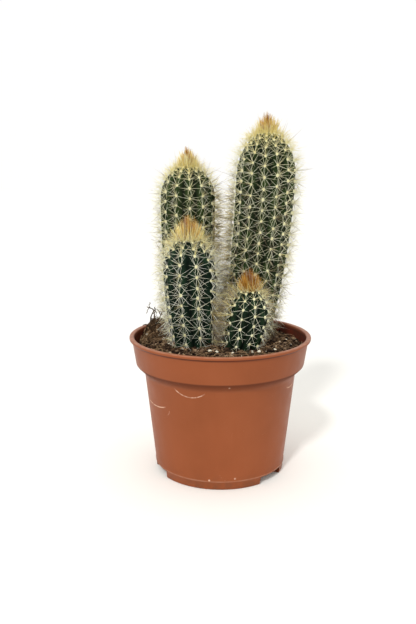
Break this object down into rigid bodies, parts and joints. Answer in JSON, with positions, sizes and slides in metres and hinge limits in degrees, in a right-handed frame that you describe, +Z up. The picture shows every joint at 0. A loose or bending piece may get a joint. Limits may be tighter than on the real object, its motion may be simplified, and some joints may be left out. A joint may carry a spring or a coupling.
{
  "type": "potted columnar cactus",
  "caption": "Clump of ribbed columnar cactus stems with pale spines and amber crown tufts, standing in peat soil in a round terracotta plastic nursery pot.",
  "frame": {"origin": "centre of the pot's foot ring, on the surface that the pot stands on", "axes": "+Z up, +X to the right seen from the front, +Y from the front to the back"},
  "size_m": [0.12, 0.12, 0.2335],
  "materials": {
    "pot_plastic": "satin moulded polypropylene, terracotta brown, lightly scuffed",
    "potting_mix": "loose dark peat with tan fibres",
    "cactus_skin": "waxy dark green skin, cream areoles and translucent straw spines",
    "spines": "translucent straw to amber spines and cream felt areoles",
    "perlite": "chalky white foamed grain",
    "dry_rootlet": "dry brown fibre"
  },
  "bodies": {
    "root": {"pot": "pot_plastic", "soil": "potting_mix", "stem_tall": "cactus_skin", "stem_back_left": "cactus_skin", "stem_front_left": "cactus_skin", "stem_small": "cactus_skin", "perlite_01": "perlite", "perlite_02": "perlite", "perlite_03": "perlite", "perlite_04": "perlite", "perlite_05": "perlite", "perlite_06": "perlite", "perlite_07": "perlite", "perlite_08": "perlite", "perlite_09": "perlite", "perlite_10": "perlite", "perlite_11": "perlite", "perlite_12": "perlite", "perlite_13": "perlite", "perlite_14": "perlite", "rootlet_1": "dry_rootlet", "rootlet_2": "dry_rootlet", "rootlet_3": "dry_rootlet", "rootlet_4": "dry_rootlet"}
  },
  "joints": []
}
